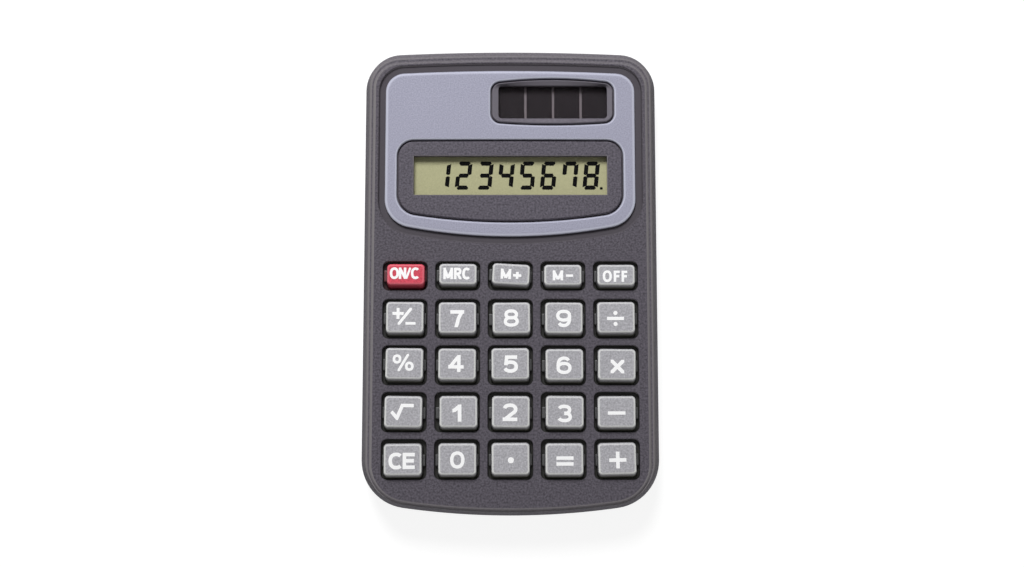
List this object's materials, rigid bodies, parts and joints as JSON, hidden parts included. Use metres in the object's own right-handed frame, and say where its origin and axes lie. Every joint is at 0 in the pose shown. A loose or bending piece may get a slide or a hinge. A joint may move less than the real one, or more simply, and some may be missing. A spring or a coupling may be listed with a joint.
{
  "type": "pocket calculator",
  "caption": "Flat pocket calculator: rounded grey case, silver-blue display panel with LCD window and solar cell, grid of pressable keys.",
  "frame": {"origin": "centre of the back face, on the plane that the calculator lies on", "axes": "+X to the right, +Y towards the display end, +Z out of the keys"},
  "size_m": [0.0618, 0.0984, 0.0114],
  "materials": {
    "case_plastic": "finely textured dark grey-violet moulding",
    "cover_plastic": "finely textured dark grey-violet moulding",
    "panel_paint": "silver-blue metallic lacquer",
    "key_grey": "silver-grey painted moulding",
    "key_red": "coral red moulding",
    "clear_plastic": "clear acrylic",
    "polariser_film": "grey-green polarising film",
    "display_glass": "thin clear glass",
    "reflector_film": "olive silver film",
    "conductive_rubber": "matt",
    "foam": "closed-cell foam",
    "solar_cover_glass": "smooth",
    "silicon_film": "dark brown amorphous silicon",
    "solar_backing": "evaporated metal back contact",
    "red_insulation": "smooth insulation",
    "black_insulation": "smooth insulation",
    "phenolic_board": "brown phenolic laminate",
    "black_epoxy": "cast epoxy",
    "capacitor_case": "moulded",
    "carbon_ink": "screen-printed carbon",
    "silicone": "translucent grey silicone",
    "cell_steel": "bright nickel plate",
    "spring_metal": "tinned phosphor bronze",
    "zinc_steel": "zinc plated"
  },
  "bodies": {
    "case": {"front_case": "case_plastic", "rear_cover": "cover_plastic", "display_panel": "panel_paint", "display_lens": "clear_plastic", "display_polariser": "polariser_film", "display_front_glass": "display_glass", "display_rear_glass": "display_glass", "display_reflector": "reflector_film", "display_connector": "conductive_rubber", "display_foam": "foam", "solar_glass": "solar_cover_glass", "solar_strips_film": "silicon_film", "solar_backing": "solar_backing", "solar_lead_positive": "red_insulation", "solar_lead_negative": "black_insulation", "circuit_board": "phenolic_board", "chip_blob": "black_epoxy", "buffer_capacitor": "capacitor_case", "timing_resistor": "black_epoxy", "contact_pads": "carbon_ink", "keypad_sheet": "silicone", "contact_pills": "conductive_rubber", "button_cell": "cell_steel", "cell_contact_positive": "spring_metal", "cell_contact_negative": "spring_metal", "case_screws": "zinc_steel", "board_screws": "zinc_steel"},
    "key_on_clear": {"key_on_clear": "key_red"},
    "key_memory_recall": {"key_memory_recall": "key_grey"},
    "key_memory_plus": {"key_memory_plus": "key_grey"},
    "key_memory_minus": {"key_memory_minus": "key_grey"},
    "key_off": {"key_off": "key_grey"},
    "key_sign_change": {"key_sign_change": "key_grey"},
    "key_7": {"key_7": "key_grey"},
    "key_8": {"key_8": "key_grey"},
    "key_9": {"key_9": "key_grey"},
    "key_divide": {"key_divide": "key_grey"},
    "key_percent": {"key_percent": "key_grey"},
    "key_4": {"key_4": "key_grey"},
    "key_5": {"key_5": "key_grey"},
    "key_6": {"key_6": "key_grey"},
    "key_multiply": {"key_multiply": "key_grey"},
    "key_square_root": {"key_square_root": "key_grey"},
    "key_1": {"key_1": "key_grey"},
    "key_2": {"key_2": "key_grey"},
    "key_3": {"key_3": "key_grey"},
    "key_subtract": {"key_subtract": "key_grey"},
    "key_clear_entry": {"key_clear_entry": "key_grey"},
    "key_0": {"key_0": "key_grey"},
    "key_decimal_point": {"key_decimal_point": "key_grey"},
    "key_equals": {"key_equals": "key_grey"},
    "key_add": {"key_add": "key_grey"}
  },
  "joints": [
    {"name": "key_on_clear_press", "type": "slide", "parent": "case", "child": "key_on_clear", "axis": [0, 0, 1], "range_m": [-0.0009, 0], "stiffness_N_per_m": 600, "springref_m": 0.00001, "deforming": ["keypad_sheet", "contact_pills"]},
    {"name": "key_memory_recall_press", "type": "slide", "parent": "case", "child": "key_memory_recall", "axis": [0, 0, 1], "range_m": [-0.0009, 0], "stiffness_N_per_m": 600, "springref_m": 0.00001, "deforming": ["keypad_sheet", "contact_pills"]},
    {"name": "key_memory_plus_press", "type": "slide", "parent": "case", "child": "key_memory_plus", "axis": [0, 0, 1], "range_m": [-0.0009, 0], "stiffness_N_per_m": 600, "springref_m": 0.00001, "deforming": ["keypad_sheet", "contact_pills"]},
    {"name": "key_memory_minus_press", "type": "slide", "parent": "case", "child": "key_memory_minus", "axis": [0, 0, 1], "range_m": [-0.0009, 0], "stiffness_N_per_m": 600, "springref_m": 0.00001, "deforming": ["keypad_sheet", "contact_pills"]},
    {"name": "key_off_press", "type": "slide", "parent": "case", "child": "key_off", "axis": [0, 0, 1], "range_m": [-0.0009, 0], "stiffness_N_per_m": 600, "springref_m": 0.00001, "deforming": ["keypad_sheet", "contact_pills"]},
    {"name": "key_sign_change_press", "type": "slide", "parent": "case", "child": "key_sign_change", "axis": [0, 0, 1], "range_m": [-0.0009, 0], "stiffness_N_per_m": 600, "springref_m": 0.00001, "deforming": ["keypad_sheet", "contact_pills"]},
    {"name": "key_7_press", "type": "slide", "parent": "case", "child": "key_7", "axis": [0, 0, 1], "range_m": [-0.0009, 0], "stiffness_N_per_m": 600, "springref_m": 0.00001, "deforming": ["keypad_sheet", "contact_pills"]},
    {"name": "key_8_press", "type": "slide", "parent": "case", "child": "key_8", "axis": [0, 0, 1], "range_m": [-0.0009, 0], "stiffness_N_per_m": 600, "springref_m": 0.00001, "deforming": ["keypad_sheet", "contact_pills"]},
    {"name": "key_9_press", "type": "slide", "parent": "case", "child": "key_9", "axis": [0, 0, 1], "range_m": [-0.0009, 0], "stiffness_N_per_m": 600, "springref_m": 0.00001, "deforming": ["keypad_sheet", "contact_pills"]},
    {"name": "key_divide_press", "type": "slide", "parent": "case", "child": "key_divide", "axis": [0, 0, 1], "range_m": [-0.0009, 0], "stiffness_N_per_m": 600, "springref_m": 0.00001, "deforming": ["keypad_sheet", "contact_pills"]},
    {"name": "key_percent_press", "type": "slide", "parent": "case", "child": "key_percent", "axis": [0, 0, 1], "range_m": [-0.0009, 0], "stiffness_N_per_m": 600, "springref_m": 0.00001, "deforming": ["keypad_sheet", "contact_pills"]},
    {"name": "key_4_press", "type": "slide", "parent": "case", "child": "key_4", "axis": [0, 0, 1], "range_m": [-0.0009, 0], "stiffness_N_per_m": 600, "springref_m": 0.00001, "deforming": ["keypad_sheet", "contact_pills"]},
    {"name": "key_5_press", "type": "slide", "parent": "case", "child": "key_5", "axis": [0, 0, 1], "range_m": [-0.0009, 0], "stiffness_N_per_m": 600, "springref_m": 0.00001, "deforming": ["keypad_sheet", "contact_pills"]},
    {"name": "key_6_press", "type": "slide", "parent": "case", "child": "key_6", "axis": [0, 0, 1], "range_m": [-0.0009, 0], "stiffness_N_per_m": 600, "springref_m": 0.00001, "deforming": ["keypad_sheet", "contact_pills"]},
    {"name": "key_multiply_press", "type": "slide", "parent": "case", "child": "key_multiply", "axis": [0, 0, 1], "range_m": [-0.0009, 0], "stiffness_N_per_m": 600, "springref_m": 0.00001, "deforming": ["keypad_sheet", "contact_pills"]},
    {"name": "key_square_root_press", "type": "slide", "parent": "case", "child": "key_square_root", "axis": [0, 0, 1], "range_m": [-0.0009, 0], "stiffness_N_per_m": 600, "springref_m": 0.00001, "deforming": ["keypad_sheet", "contact_pills"]},
    {"name": "key_1_press", "type": "slide", "parent": "case", "child": "key_1", "axis": [0, 0, 1], "range_m": [-0.0009, 0], "stiffness_N_per_m": 600, "springref_m": 0.00001, "deforming": ["keypad_sheet", "contact_pills"]},
    {"name": "key_2_press", "type": "slide", "parent": "case", "child": "key_2", "axis": [0, 0, 1], "range_m": [-0.0009, 0], "stiffness_N_per_m": 600, "springref_m": 0.00001, "deforming": ["keypad_sheet", "contact_pills"]},
    {"name": "key_3_press", "type": "slide", "parent": "case", "child": "key_3", "axis": [0, 0, 1], "range_m": [-0.0009, 0], "stiffness_N_per_m": 600, "springref_m": 0.00001, "deforming": ["keypad_sheet", "contact_pills"]},
    {"name": "key_subtract_press", "type": "slide", "parent": "case", "child": "key_subtract", "axis": [0, 0, 1], "range_m": [-0.0009, 0], "stiffness_N_per_m": 600, "springref_m": 0.00001, "deforming": ["keypad_sheet", "contact_pills"]},
    {"name": "key_clear_entry_press", "type": "slide", "parent": "case", "child": "key_clear_entry", "axis": [0, 0, 1], "range_m": [-0.0009, 0], "stiffness_N_per_m": 600, "springref_m": 0.00001, "deforming": ["keypad_sheet", "contact_pills"]},
    {"name": "key_0_press", "type": "slide", "parent": "case", "child": "key_0", "axis": [0, 0, 1], "range_m": [-0.0009, 0], "stiffness_N_per_m": 600, "springref_m": 0.00001, "deforming": ["keypad_sheet", "contact_pills"]},
    {"name": "key_decimal_point_press", "type": "slide", "parent": "case", "child": "key_decimal_point", "axis": [0, 0, 1], "range_m": [-0.0009, 0], "stiffness_N_per_m": 600, "springref_m": 0.00001, "deforming": ["keypad_sheet", "contact_pills"]},
    {"name": "key_equals_press", "type": "slide", "parent": "case", "child": "key_equals", "axis": [0, 0, 1], "range_m": [-0.0009, 0], "stiffness_N_per_m": 600, "springref_m": 0.00001, "deforming": ["keypad_sheet", "contact_pills"]},
    {"name": "key_add_press", "type": "slide", "parent": "case", "child": "key_add", "axis": [0, 0, 1], "range_m": [-0.0009, 0], "stiffness_N_per_m": 600, "springref_m": 0.00001, "deforming": ["keypad_sheet", "contact_pills"]}
  ]
}
